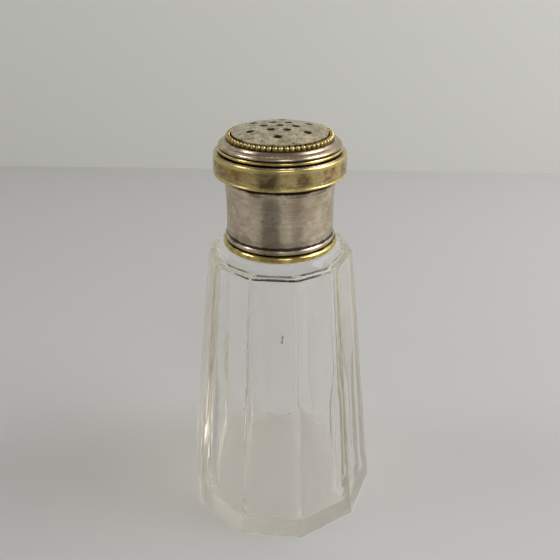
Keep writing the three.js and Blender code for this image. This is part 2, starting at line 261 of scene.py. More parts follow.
# What every worn metal here has in common. An edge holds the two values of a noise, which runs
# from 0 to 1, between which a change fades in
wear = {
    "stainEdge": (0.42, 0.6),
    "fineSize": 0.35,  # size of the small stains beside the wide ones, and their share
    "fineShare": 0.4,
    "streakEdge": (0.5, 0.75),
    "streakSize": 0.5,  # mm, and how many times longer they are round the metal
    "streakLength": 14,
    "castEdge": (0.42, 0.62),
    "crestFade": 0.6,  # share of its reach where a bare crest is fully bare
    "lineEdge": (0.3, 0.7),
    "pitWarp": 0.9,  # mm by which the outline of a pit wanders, and the size of its waves
    "pitWarpSize": 0.6,
    "pitEdge": (0.0, 0.12),
    "pitFade": 0.1,  # how gradually cells with pits take over from clean ones
    "beadGapShade": (0.38, 0.48),  # shares of a bead's step, from its middle, where the painted shade of the gap begins
    "raggedEdge": (0.35, 0.65, 0.65, 1.35),  # the last two are shares of the reach of the painted shade and grime
    # shares of its reach between which the painted shade and grime of a ring fade in
    "shadeAndGrimeFade": (1.0, 0.4),
    "shadeAndGrimeRoughness": 0.25,
    "roughEdge": (0.35, 0.65),
    "bumpDepth": 0.05,  # mm
    "brushTurn": 0.25,
}


def plateTones(material, place, look):
    # two tones of plate in stains, streaks where it is worn through, and a slow change of cast;
    # gives the colour, the noise of the stains and its wide part
    wide = newNoise(material, place, look["stainSize"], detail=5.0)
    fine = newNoise(material, place, look["stainSize"] * wear["fineSize"], detail=6.0, offset=7.3)
    length = wear["streakLength"]
    streaks = newNoise(material, place, wear["streakSize"], (length, length, 1), detail=3.0, offset=2.1)
    cast = newNoise(material, place, look["castSize"], detail=2.0, offset=4.9)
    stains = newMath(material, 'ADD', newMath(material, 'MULTIPLY', wide, 1 - wear["fineShare"]),
                     newMath(material, 'MULTIPLY', fine, wear["fineShare"]))
    tone = newRange(material, stains, *wear["stainEdge"])
    colour = newMix(material, tone, linear(look["plate"]), linear(look["stain"]))
    tone = newRange(material, streaks, *wear["streakEdge"], 0.0, look["streak"])
    colour = newMix(material, tone, colour, linear(look["worn"]))
    tone = newRange(material, cast, *wear["castEdge"], 0.0, look["castShare"])
    return newMix(material, tone, colour, linear(look["cast"])), stains, wide


def makePits(material, place, look):
    # pits and specks of uneven shape in a few of the cells
    warp = addNode(material, "ShaderNodeTexNoise", {}, {
        "Vector": place, "Scale": 1 / (wear["pitWarpSize"] * mm), "Detail": 3.0})
    shifted = addNode(material, "ShaderNodeVectorMath", {"operation": 'MULTIPLY_ADD'}, {
        0: warp.outputs["Color"], 1: (wear["pitWarp"] * mm,) * 3, 2: place})
    cells = addNode(material, "ShaderNodeTexVoronoi", {}, {
        "Vector": shifted.outputs[0], "Scale": 1 / (look["pitSpread"] * mm)})
    chance = addNode(material, "ShaderNodeSeparateColor", {}, {"Color": cells.outputs["Color"]})
    reach = newMath(material, 'MULTIPLY', chance.outputs[0], look["pitReach"])
    dent = newMath(material, 'SUBTRACT', reach, cells.outputs["Distance"])
    chosen = newRange(material, chance.outputs[1], look["pitClean"], look["pitClean"] + wear["pitFade"])
    return newMath(material, 'MULTIPLY', newRange(material, dent, *wear["pitEdge"]), chosen)


def makeWornMetal(name, look):
    # worn plate on brass, seen as stains, brush lines and pits, with grime and painted shade in the grooves
    # and between beads
    material, shader, place = newMaterial(name)
    x, y, height = addNode(material, "ShaderNodeSeparateXYZ", {}, {"Vector": place}).outputs
    outward = newLength(material, x, y)

    def awayFrom(radius, level):
        # how far a place is from the ring of this radius and height, in mm
        return newLength(material, newMath(material, 'SUBTRACT', outward, radius * mm),
                         newMath(material, 'SUBTRACT', height, level * mm))

    colour, stains, wide = plateTones(material, place, look)
    for radius, level, spread, strength in look["bare"]:
        crest = newRange(material, awayFrom(radius, level), spread * mm, wear["crestFade"] * spread * mm,
                         0.0, strength)
        colour = newMix(material, crest, colour, linear(look["bareColour"]))

    # brush lines, drawn about twice as coarse as the real ones, which this picture can't hold
    length = look["lineLength"]
    lines = newNoise(material, place, look["lineSize"], (length, length, 1), detail=3.0)
    shade = newRange(material, lines, *wear["lineEdge"], 1.0 - look["lineShade"], 1.0)
    grey = addNode(material, "ShaderNodeCombineColor", {}, {"Red": shade, "Green": shade, "Blue": shade})
    colour = newMix(material, 1.0, colour, grey.outputs[0], 'MULTIPLY')

    # grime lies in the pits; painted shade, with some grime, darkens the gaps between beads and the look's
    # rings, which it edges raggedly
    pits = makePits(material, place, look)
    shadeAndGrime = newMath(material, 'MULTIPLY', pits, look["pitDark"])
    # painted shade in the gaps between beads
    if look["beads"]:
        turn = newMath(material, 'MULTIPLY', newMath(material, 'ARCTAN2', x, y), look["beads"] / (2 * pi))
        step = newMath(material, 'FRACT', newMath(material, 'ADD', turn, look["beads"] + 0.5))
        edge = newMath(material, 'ABSOLUTE', newMath(material, 'SUBTRACT', step, 0.5))
        shadeAndGrime = newMath(material, 'MAXIMUM', shadeAndGrime, newRange(material, edge, *wear["beadGapShade"]))
    ragged = newRange(material, wide, *wear["raggedEdge"])
    for radius, level, spread, strength in look["shadeAndGrime"]:
        reach = newMath(material, 'MULTIPLY', ragged, spread * mm)
        distance = newMath(material, 'DIVIDE', awayFrom(radius, level), reach)
        near = newRange(material, distance, *wear["shadeAndGrimeFade"], 0.0, strength)
        shadeAndGrime = newMath(material, 'MAXIMUM', shadeAndGrime, near)
    # the grime and painted shade darken the colour
    colour = newMix(material, shadeAndGrime, colour, linear(look["shadeAndGrimeColour"]))

    smooth, dull = look["roughness"] - look["roughSpread"], look["roughness"] + look["roughSpread"]
    rough = newRange(material, stains, *wear["roughEdge"], smooth, dull)
    rough = newMath(material, 'ADD', rough, newMath(material, 'MULTIPLY', shadeAndGrime, wear["shadeAndGrimeRoughness"]))
    relief = newMath(material, 'SUBTRACT', newMath(material, 'MULTIPLY', lines, look["lineDepth"]), pits)
    relief = newMath(material, 'ADD', relief, newMath(material, 'MULTIPLY', wide, look["dent"]))
    bump = addNode(material, "ShaderNodeBump", {}, {
        "Height": relief, "Strength": look["bump"], "Distance": wear["bumpDepth"] * mm})
    tangent = addNode(material, "ShaderNodeTangent", {"direction_type": 'RADIAL', "axis": 'Z'}, {})
    setShader(material, shader, {
        "Base Color": colour, "Metallic": 1.0, "Roughness": rough, "Normal": bump.outputs["Normal"],
        "Anisotropic": look["brushed"], "Anisotropic Rotation": wear["brushTurn"],
        "Tangent": tangent.outputs[0]})
    return material


# In a look, sizes are mm, the bare rings and the rings of painted shade with some grime list radius,
# height, reach and strength, and "brushed" is how far the brush lines draw a highlight out

# Silver plate brushed round the collar: a soft grey sheen with upright lights and darks, warm
# where it has thinned over the brass, and painted shade with some grime along the foot, by the ridge, under
# the band and under the lip
collarLook = {
    "plate": "#eadcc6", "stain": "#cdb7a3", "worn": "#bda981", "streak": 0.6, "stainSize": 5.0,
    "cast": "#b3a883", "castSize": 11.0, "castShare": 0.4,
    "lineSize": 0.22, "lineLength": 30.0, "lineShade": 0.2, "lineDepth": 0.7,
    "pitSpread": 1.6, "pitReach": 0.3, "pitClean": 0.72, "pitDark": 0.5,
    "bare": [], "beads": 0, "shadeAndGrimeColour": "#2b211a",
    # painted shade with some grime in the crevices by the foot wire and the ridge, a painted shadow under the
    # band, painted shade under the lip, and a faint band above the ridge
    "shadeAndGrime": [(16.9, 103.0, 0.8, 0.95), (17.2, 105.4, 0.7, 0.9), (17.85, 123.55, 1.0, 0.97),
              (17.1, 122.0, 0.4, 0.7), (16.9, 106.8, 1.3, 0.22)],
    "roughness": 0.3, "roughSpread": 0.05, "brushed": 0.75, "dent": 1.2, "bump": 0.25,
}

# The same plate on the cap, shinier and worn to pinkish brown on the round shoulder, with painted
# shade in the groove under the ridge wire and black painted shade in the hollow under the beads
shellLook = {
    **collarLook, "plate": "#dfccb6", "stain": "#b59f89", "worn": "#9a8268", "lineShade": 0.12,
    "pitSpread": 1.2, "roughness": 0.22, "brushed": 0.2, "pitDark": 0.85, "shadeAndGrimeColour": "#1d1712",
    # painted shade with some grime in the groove under the ridge wire; painted shade in the hollow under the
    # beads
    "shadeAndGrime": [(18.1, 131.5, 1.25, 0.97), (16.2, 134.9, 0.5, 0.8)],
}

# The dome has lost its brushing and is mottled, with painted shade and some grime round its rim, where it
# meets the beads
domeLook = {
    **collarLook, "plate": "#e3d7be", "stain": "#9c8a70", "worn": "#c9bfa6", "stainSize": 2.2,
    "lineShade": 0.06, "lineLength": 6.0, "pitSpread": 0.9, "pitClean": 0.5, "pitReach": 0.42,
    # painted shade with some grime round the rim
    "pitDark": 0.7, "roughness": 0.33, "brushed": 0.0, "shadeAndGrime": [(14.75, 136.0, 0.6, 0.9)],
}

# Brass wire laid bare on its crest, so yellow and bright there, and darkened by painted shade and some grime
# at its foot and along its top edge
wireLook = {
    **collarLook, "plate": "#ecd68a", "stain": "#c4ac62", "worn": "#e3d29c", "stainSize": 3.0,
    "cast": "#b79a55", "castSize": 6.0,
    "lineSize": 0.2, "lineLength": 20.0, "lineShade": 0.12, "lineDepth": 0.4,
    "pitSpread": 1.0, "pitClean": 0.7, "shadeAndGrimeColour": "#1f1710",
    # painted shade with some grime where the wires meet the metal beside them
    "shadeAndGrime": [(17.4, 100.9, 0.6, 0.9), (17.3, 103.1, 0.5, 0.9), (18.4, 131.6, 0.55, 0.95),
              (18.3, 132.8, 0.35, 0.8)],
    "roughness": 0.16, "roughSpread": 0.04, "brushed": 0.3, "dent": 1.5, "bump": 0.3,
}

# Brass beads, each a bright grain, with painted shade in the gap to the next and at their inner foot
beadLook = {
    # the bead count sets the painted shade in the gaps; the ring is painted shade with some grime against the
    # dome
    **wireLook, "plate": "#d6c588", "stain": "#a8975a", "stainSize": 4.0, "streak": 0.1, "beads": 60,
    "pitClean": 1.2, "shadeAndGrime": [(14.8, 136.0, 0.35, 0.9)], "roughness": 0.22, "brushed": 0.0,
}

# The drawn strip: bare brass rims, and a face where plate, brass and brown tarnish mix
bandLook = {
    **wireLook, "plate": "#d6c084", "stain": "#967a52", "worn": "#e6dcc0", "streak": 0.85, "stainSize": 5.0,
    # painted shade with some grime along the top edge, under the groove of the shell
    "lineShade": 0.22, "shadeAndGrime": [(19.8, 131.3, 0.3, 0.6)], "roughness": 0.25, "brushed": 0.5,
    "bare": [(20.35, 130.7, 1.0, 0.9), (20.3, 124.9, 1.1, 0.9)], "bareColour": "#e6d28a",
}

# Brass that was never plated or polished, dull and brown, under the cap
rawLook = {
    **wireLook, "plate": "#b39a5a", "stain": "#8d7642", "worn": "#7d693c", "shadeAndGrime": [],
    "roughness": 0.42, "brushed": 0.0,
}

# Set plaster: dry, pale and grainy
plasterLook = {
    "pale": "#a79a82", "dirty": "#7c6f5a", "cloudSize": 2.5, "cloudEdge": (0.35, 0.65),
    "grainSize": 0.25, "grainStrength": 0.6, "grainDepth": 0.1, "roughness": 0.92,
}


def makePlaster():
    material, shader, place = newMaterial("setPlaster")
    look = plasterLook
    cloud = newNoise(material, place, look["cloudSize"], detail=6.0)
    grains = newNoise(material, place, look["grainSize"], detail=4.0, offset=3.0)
    tone = newRange(material, cloud, *look["cloudEdge"])
    colour = newMix(material, tone, linear(look["pale"]), linear(look["dirty"]))
    bump = addNode(material, "ShaderNodeBump", {}, {
        "Height": grains, "Strength": look["grainStrength"], "Distance": look["grainDepth"] * mm})
    setShader(material, shader, {
        "Base Color": colour, "Roughness": look["roughness"], "Normal": bump.outputs["Normal"]})
    return material


def makePlain(name, colour, roughness):
    material, shader, _ = newMaterial(name)
    setShader(material, shader, {"Base Color": colour, "Roughness": roughness})
    return material


crystal = makeCrystal()
brushedSilver = makeWornMetal("brushedSilver", collarLook)
shellSilver = makeWornMetal("shellSilver", shellLook)
domeSilver = makeWornMetal("domeSilver", domeLook)
wireBrass = makeWornMetal("wireBrass", wireLook)
beadBrass = makeWornMetal("beadBrass", beadLook)
bandBrass = makeWornMetal("bandBrass", bandLook)
rawBrass = makeWornMetal("rawBrass", rawLook)
plaster = makePlaster()
print("materials made")


# Cut-crystal bottle: a ten-sided ring is extruded up the outside, over the rim and down the inside,
# and creases tell the subdivision where it stays cut and where it is blown round
bottle = {
    "sides": 10,
    "baseCorner": 35.0,  # mm, as all sizes here
    "footBevel": 0.7,
    "shoulderHeight": 98.3,
    "shoulderSide": 22.4,
    "shoulderBevel": 0.6,
    "shoulderBevelHeight": 0.4,
    "seatHeight": 100.9,
    "seatCrease": 0.4,
    "seatRadius": 18.35,  # where the foot wire covers it
    "neck": 14.6,
    "bore": 11.8,
    "boreFoot": 3.0,  # the bore is straight down to this far above the seat
    "neckHeight": 15.4,
    "rimCrease": 0.7,
    "floor": 4.2,
    "floorWall": 6.2,
    "floorCrease": 0.7,
    "floorCorner": 0.8,
    # the hollow above its floor: height, thickness of the wall, sharpness of its corners and of the ring
    "hollow": [(96.3, 3.2, 0.9, 0.9), (86.0, 3.4, 0.6, 0), (50.0, 4.3, 0.3, 0), (16.0, 5.6, 0.3, 0),
               (8.0, 6.0, 0.5, 0)],
    # its roof is low at the edge, where light turns and shows the dark seat of the collar
    "roofEdge": [(97.2, 16.2, 0.3, 0.2), (96.4, 18.4, 0.9, 0.6)],  # height, side, sharpness as above
    "roofFlare": 0.8,
    "roofTop": 0.5,  # under the seat
    "levels": 4,  # of subdivision
    "cutEdge": 0.22,  # what polishing takes off a cut edge
}


def makeBottle():
    size = bottle
    half = pi / size["sides"]
    roundShrink = (2 + cos(2 * half)) / 3  # what subdivision leaves of an uncreased ring's radius
    baseSide = size["baseCorner"] * cos(half)
    shoulder = size["shoulderHeight"]
    seat = size["seatHeight"]
    rim = seat + size["neckHeight"]

    def facet(height):
        return baseSide + (size["shoulderSide"] - baseSide) * height / shoulder

    def cut(height, side, corner=1.0, ring=1.0):
        return height, side / cos(half), ring, corner

    def turned(height, radius, ring=0.0):
        return height, radius / roundShrink, ring, 0.0

    # each ring is its height, its corner radius, the crease along it and the crease of its upright edges
    rings = [
        cut(0, baseSide - size["footBevel"]),
        cut(size["footBevel"], facet(size["footBevel"])),
        cut(shoulder, size["shoulderSide"]),
        cut(shoulder + size["shoulderBevelHeight"], size["shoulderSide"] - size["shoulderBevel"], corner=0.0),
        turned(seat, size["seatRadius"], size["seatCrease"]),
        turned(seat, size["neck"], 1.0),
        turned(rim, size["neck"], size["rimCrease"]),
        turned(rim, size["bore"], size["rimCrease"]),
        turned(seat + size["boreFoot"], size["bore"]),
        turned(seat - size["roofTop"], size["bore"] + size["roofFlare"]),
    ]
    rings += [cut(*edge) for edge in size["roofEdge"]]
    for height, wall, corner, ring in size["hollow"]:
        rings.append(cut(height, facet(height) - wall, corner, ring))
    floorSide = facet(size["floor"]) - size["floorWall"]
    rings.append(cut(size["floor"], floorSide, size["floorCorner"], size["floorCrease"]))

    deselectAll()
    bpy.ops.mesh.primitive_circle_add(vertices=size["sides"], radius=rings[0][1] * mm)
    bpy.ops.object.mode_set(mode='EDIT')
    # turned by half a side with the pivot given, so that a side faces the front
    bpy.ops.transform.rotate(value=half, orient_axis='Z', center_override=(0, 0, 0))
    bpy.ops.mesh.edge_face_add()
    for here, there in zip(rings, rings[1:]):
        extrudeOn(there[0] - here[0], there[1] / here[1])
    for height, corner, along, _ in rings:
        selectBetween([((corner, height), (corner, height))])
        bpy.ops.transform.edge_crease(value=along)
    for (low, lowCorner, _, upright), (high, highCorner, _, _) in zip(rings, rings[1:]):
        selectBetween([((lowCorner, low), (highCorner, high))])
        bpy.ops.transform.edge_crease(value=upright)
    bpy.ops.mesh.select_all(action='SELECT')
    bpy.ops.mesh.normals_make_consistent(inside=False)
    bpy.ops.object.mode_set(mode='OBJECT')
    applyModifier('SUBSURF', levels=size["levels"], render_levels=size["levels"])
    applyModifier('BEVEL', width=size["cutEdge"] * mm, segments=2, limit_method='ANGLE',
                  angle_limit=radians(25))
    finishPiece("crystalBottle", "bottle", ["glass_body"], crystal, 25)
    applyModifier('WEIGHTED_NORMAL', keep_sharp=True)


makeBottle()


# Turned metal rings

def turnPiece(profile, steps=160, roundSteps=6):
    # a wire circle is extruded and scaled from point to point of the profile and back to its start,
    # then the corners that have a rounding are bevelled; a point is radius, height and rounding
    deselectAll()
    bpy.ops.mesh.primitive_circle_add(vertices=steps, radius=profile[0][0] * mm)
    bpy.ops.object.mode_set(mode='EDIT')
    bpy.ops.transform.translate(value=(0, 0, profile[0][1] * mm))
    for here, there in zip(profile, profile[1:] + profile[:1]):
        extrudeOn(there[1] - here[1], there[0] / here[0])
    bpy.ops.mesh.select_all(action='SELECT')
    bpy.ops.mesh.remove_doubles(threshold=0.001 * mm)
    bpy.ops.mesh.normals_make_consistent(inside=False)
    for rounding in sorted({point[2] for point in profile if point[2]}):
        selectBetween([(point[:2], point[:2]) for point in profile if point[2] == rounding])
        bpy.ops.mesh.bevel(offset=rounding * mm, segments=roundSteps, affect='EDGES')


def turnWasher(inner, outer, low, high, *roundings):
    # a plain ring; its roundings go from the inner foot up, out and down to the outer foot
    corners = (inner, low), (inner, high), (outer, high), (outer, low)
    turnPiece([(*corner, rounding) for corner, rounding in zip(corners, roundings)])


def arc(radius, height, across, up, start, end, steps):
    # points of a curved stretch of a profile about a centre, angles in degrees from straight outwards
    turns = [radians(start + (end - start) * i / steps) for i in range(steps + 1)]
    return [(radius + across * cos(turn), height + up * sin(turn), 0) for turn in turns]


def turnWire(outer, low, high, proud):
    # a half-round wire, flat on the inside where it is soldered on
    inner = outer - proud
    half = (high - low) / 2
    turnPiece([(inner, low, 0), (inner, high, 0)] + arc(inner, low + half, proud, half, 88, -88, 12))


def boxOf(node):
    # outer radius, foot and top of a node of the frame, in mm
    low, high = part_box(node)
    return high.x / mm, low.z / mm, high.z / mm


# The helical ridges of the two threads, which the frame has as plain sleeves
thread = {
    "pitch": 2.0,  # mm, as all sizes here
    "depth": 0.45,
    "turns": 2,
    "start": 0.9,  # middle of the ridge's beginning, above the foot of the ring
    "halfWidth": 0.6,
    "sink": 0.1,  # how far the ridge's foot lies in its ring
    "steps": 72,
}


def addThread(crest, root, foot):
    # a helical ridge, one small triangle swept by the Screw modifier, joined to the ring just turned
    size = thread
    ring = bpy.context.object
    low = foot + size["start"]
    deselectAll()
    bpy.ops.mesh.primitive_circle_add(vertices=3, radius=1)
    bpy.ops.object.mode_set(mode='EDIT')
    ridge = bmesh.from_edit_mesh(bpy.context.object.data)
    corners = ((crest, low), (root, low - size["halfWidth"]), (root, low + size["halfWidth"]))
    for vert, (radius, height) in zip(ridge.verts, corners):
        vert.co = (radius * mm, 0, height * mm)
    bmesh.update_edit_mesh(bpy.context.object.data)
    bpy.ops.object.mode_set(mode='OBJECT')
    applyModifier('SCREW', steps=size["steps"], render_steps=size["steps"], iterations=size["turns"],
                  screw_offset=size["pitch"] * mm, angle=2 * pi, use_merge_vertices=False)
    bpy.ops.object.mode_set(mode='EDIT')
    bpy.ops.mesh.select_all(action='DESELECT')
    bpy.ops.mesh.select_mode(type='EDGE')
    bpy.ops.mesh.select_non_manifold(extend=False, use_wire=False, use_multi_face=False,
                                     use_non_contiguous=False, use_verts=False)
    bpy.ops.mesh.fill()
    bpy.ops.mesh.select_all(action='SELECT')
    bpy.ops.mesh.normals_make_consistent(inside=False)
    bpy.ops.object.mode_set(mode='OBJECT')
    joinAll([ring, bpy.context.object])


collar = {
    "bedding": 0.04,  # mm, as all sizes here: air left between the collar and the glass
    "edge": 0.1,
    "plasterEdge": 0.35,
    "ringWall": 1.05,
    "wireProud": 1.1,
    "sleeveWall": 0.7,
    "ridgeHeight": 2.95,  # middle of the rolled ridge, above the foot wire
    "ridgeFoot": 0.75,  # under its middle
    "ridge": (0.05, 0.55, 0.75),  # out from the sleeve, then how far it swells out and up
    # out from the sleeve, up from the middle of the ridge, and rounding: a step and a long waist
    "aboveRidge": [(0.2, 0.85, 0), (0.22, 1.15, 0.15), (0.08, 2.2, 0), (0.0, 3.75, 0), (0.0, 7.0, 0)],
    "lipProud": 0.9,
    "belowTop": [(0.0, 8.0), (0.08, 5.8), (0.27, 3.6), (0.5, 2.1)],  # out from the sleeve, under its top
    "lipMiddle": 1.4,  # of the rolled lip, under the top
    "lip": (0.45, 0.45, 0.62),  # as for the ridge
    "neckOut": 0.5,  # the sleeve above its lip
    "neckFoot": 0.7,
}


def makeCollar():
    size = collar
    seat = bottle["seatHeight"] + size["bedding"]
    edge, top = size["edge"], size["plasterEdge"]
    outer, _, high = boxOf("neck_plaster")
    turnWasher(outer - size["ringWall"], outer, seat, high, edge, top, top, edge)
    finishPiece("plasterBed", "bottle", ["neck_plaster"], plaster)

    outer, _, high = boxOf("collar_foot_wire")
    turnWire(outer, seat, high, size["wireProud"])
    finishPiece("footWire", "bottle", ["collar_foot_wire"], wireBrass)

    lip, low, high = boxOf("collar_sleeve")
    sleeve = lip - size["lipProud"]
    inner = sleeve - size["sleeveWall"]
    ridge = low + size["ridgeHeight"]
    out, *swell = size["ridge"]
    lipOut, *lipSwell = size["lip"]
    neck = sleeve + size["neckOut"]
    turnPiece([
        (inner, seat, 0), (sleeve, seat, 0), (sleeve, ridge - size["ridgeFoot"], 0),
        *arc(sleeve + out, ridge, *swell, -80, 70, 8),
        *[(sleeve + side, ridge + up, rounding) for side, up, rounding in size["aboveRidge"]],
        *[(sleeve + side, high - down, 0) for side, down in size["belowTop"]],
        *arc(sleeve + lipOut, high - size["lipMiddle"], *lipSwell, -75, 75, 8),
        (neck, high - size["neckFoot"], 0), (neck, high, edge), (inner, high, edge),
    ])
    finishPiece("collarSleeve", "bottle", ["collar_sleeve"], brushedSilver)

    outer, low, high = boxOf("collar_thread_ring")
    crest = outer - size["ringWall"]
    inner = crest + thread["depth"]
    turnWasher(inner, outer, low, high, edge, edge, edge, edge)
    addThread(crest, inner + thread["sink"], low)
    finishPiece("threadRing", "bottle", ["collar_thread_ring"], rawBrass)


makeCollar()


cap = {
    "clearance": 0.3,  # mm, as all sizes here: what the frame leaves between two of its pieces
    "edge": 0.1,
    "washerEdge": 0.15,
    "linerFlange": 2.0,
    "linerWall": 0.8,
    "bandWall": 0.7,
    # the band's top is rolled over from the groove, and its face swells a little below that:
    # in from the widest ring, and down from the top
    "bandTop": [(0.64, 0.01), (0.56, 0.05), (0.46, 0.15), (0.36, 0.29), (0.28, 0.44), (0.21, 0.61),
                (0.17, 0.8), (0.18, 0.95), (0.21, 1.1), (0.19, 1.4), (0.15, 1.9), (0.1, 2.5)],
    "bandMiddle": 0.07,
    "bandFoot": [(0.1, 1.4), (0.16, 0.8)],  # in from the widest ring, and up from the foot
    "lowRim": 0.7,
    "lowRimRound": 0.32,
    "shellWall": 0.7,
    "grooveDepth": 1.65,
    # the skirt is rolled out over the band: out from the skirt, and up from the floor of the groove
    "skirtRoll": [(0.0, -0.6), (0.22, -0.35), (0.26, -0.15), (0.15, 0.04), (-0.05, 0.08), (-0.3, 0.0)],
    "roundOut": 0.875,  # how far the round shoulder stands out over the groove
    "roundWidth": 1.5,
    "roundHeight": 1.05,
    "roundSink": 0.2,  # how much lower its inside begins
    # hollow slope up to the ledge of the beads: shares of its width and of its height
    "cove": [(0.1, 0.03), (0.25, 0.13), (0.4, 0.3), (0.9, 0.92), (1.0, 1.0)],
    "coveWidth": 1.0,
    "coveHeight": 0.85,
    "ledge": 1.2,
    "wireProud": 0.75,
    "wireOut": 0.2,  # the ridge wire shows this much more than in the frame
    "beads": 60,
    "beadRadius": 0.7,
    "beadStretch": (1.08, 1.08, 1.06),
    "beadDrop": 0.3,
    "beadWear": 0.05,
    "domeWall": 0.7,
    "domeCrown": 1.72,
    "domeEdge": 0.12,  # how far the sheet falls off at its edge, beside its round form
    "domeEdgePower": 6,
    "domeSteps": 30,
    "domeRound": 0.1,
    "holeRadius": 1.15,
    "holeWear": 0.06,
    "domeTurn": 1.7,  # degrees by which the holes stand round from the front
    "holeRings": [(4.8, 6, 0.5), (9.7, 6, 0.0)],  # radius, count, share of a step they are turned by
    "drillLength": 8.0,
}


def makeScrew():
    # the washer that closes the cap's underside, and the threaded sleeve that hangs from it
    size = cap
    outer, low, high = boxOf("cap_seat_ring")
    flange = boxOf("cap_thread_liner")[0]
    inner = flange - size["linerFlange"] + size["clearance"]
    edge, rim = size["edge"], size["washerEdge"]
    turnWasher(inner, outer, low, high, edge, edge, rim, rim)
    finishPiece("seatRing", "cap_lift", ["cap_seat_ring"], brushedSilver)

    flange, low, high = boxOf("cap_thread_liner")
    crest = flange - size["linerFlange"]
    outer = crest - thread["depth"]
    inner = crest - size["linerWall"]
    flangeFoot = high - size["linerWall"]
    turnPiece([(inner, low, edge), (inner, high, edge), (flange, high, edge), (flange, flangeFoot, edge),
               (outer, flangeFoot, 0), (outer, low, edge)])
    addThread(crest, outer - thread["sink"], low)
    finishPiece("threadLiner", "cap", ["cap_thread_liner"], rawBrass)


def makeBand():
    size = cap
    rim, low, high = boxOf("cap_band")
    inner = rim - size["bandWall"]
    lowRim, lowRound = size["lowRim"] / 2, size["lowRimRound"]
    turnPiece([
        (inner, low, 0), (inner, high, 0),
        *[(rim - drop, high - down, 0) for drop, down in size["bandTop"]],
        (rim - size["bandMiddle"], (low + high) / 2, 0),
        *[(rim - drop, low + up, 0) for drop, up in size["bandFoot"]],
        *arc(rim - lowRound, low + lowRim, lowRound, lowRim, 62, -88, 10),
    ])
    finishPiece("capBand", "cap", ["cap_band"], bandBrass)


def makeShell():
    size = cap
    skirt, low, high = boxOf("cap_shell")
    wireOuter, wireFoot, wireTop = boxOf("cap_ridge_wire")
    wall = size["shellWall"]
    grooveFloor = wireFoot - size["clearance"]
    groove = skirt - size["grooveDepth"]
    roundFoot = wireTop + size["clearance"]
    crown = groove + size["roundOut"] - size["roundWidth"]
    capTop = roundFoot + size["roundHeight"]
    seatHeight = capTop + size["coveHeight"]
    seatOuter = boxOf("pierced_dome")[0] - size["clearance"]
    seatInner = seatOuter - size["ledge"]
    turnPiece([
        (skirt - wall, low, 0), (skirt, low, 0),
        *[(skirt + out, grooveFloor + up, 0) for out, up in size["skirtRoll"]],
        (groove, grooveFloor, 0), (groove, roundFoot, 0),
        *arc(crown, roundFoot, size["roundWidth"], size["roundHeight"], 4, 90, 14),
        *[(crown - across * size["coveWidth"], capTop + up * size["coveHeight"], 0)
          for across, up in size["cove"]],
        (seatOuter, seatHeight, 0), (seatOuter, high, 0), (seatInner, high, 0),
        (seatInner, capTop, 0), (crown - wall, capTop - wall, 0),
        (groove - wall, roundFoot - size["roundSink"], 0), (groove - wall, grooveFloor - wall, 0),
        (skirt - wall, grooveFloor - wall, 0),
    ])
    finishPiece("capShell", "cap", ["cap_shell"], shellSilver, 40)

    turnWire(wireOuter + size["wireOut"], wireFoot, wireTop, size["wireProud"])
    finishPiece("ridgeWire", "cap", ["cap_ridge_wire"], wireBrass)


def makeBeads():
    # one bead, a little wider than tall, is copied round a thin wire and all are joined
    size = cap
    outer, low, high = boxOf("cap_bead_wire")
    ringRadius = (outer - size["beadRadius"]) * mm
    middle = ((low + high) / 2 - size["beadDrop"]) * mm
    deselectAll()
    bpy.ops.mesh.primitive_torus_add(location=(0, 0, middle), major_radius=ringRadius,
                                     minor_radius=0.5 * size["beadRadius"] * mm,
                                     major_segments=2 * size["beads"], minor_segments=8)
    pieces = [bpy.context.object]
    deselectAll()
    place = (0, -ringRadius, middle)
    bpy.ops.mesh.primitive_uv_sphere_add(segments=14, ring_count=9, location=place,
                                         radius=(size["beadRadius"] + size["beadWear"]) * mm)
    bead = bpy.context.object
    bpy.ops.object.mode_set(mode='EDIT')
    bpy.ops.mesh.select_all(action='SELECT')
    bpy.ops.transform.resize(value=size["beadStretch"], center_override=place)
    bpy.ops.object.mode_set(mode='OBJECT')
    bpy.ops.object.transform_apply(location=True, rotation=True, scale=True)
    pieces.append(bead)
    for i in range(1, size["beads"]):
        copy = bead.copy()
        copy.data = bead.data.copy()
        bpy.context.collection.objects.link(copy)
        copy.rotation_euler.z = 2 * pi * i / size["beads"]
        pieces.append(copy)
    joinAll(pieces)
    finishPiece("beadWire", "cap", ["cap_bead_wire"], beadBrass, 60)


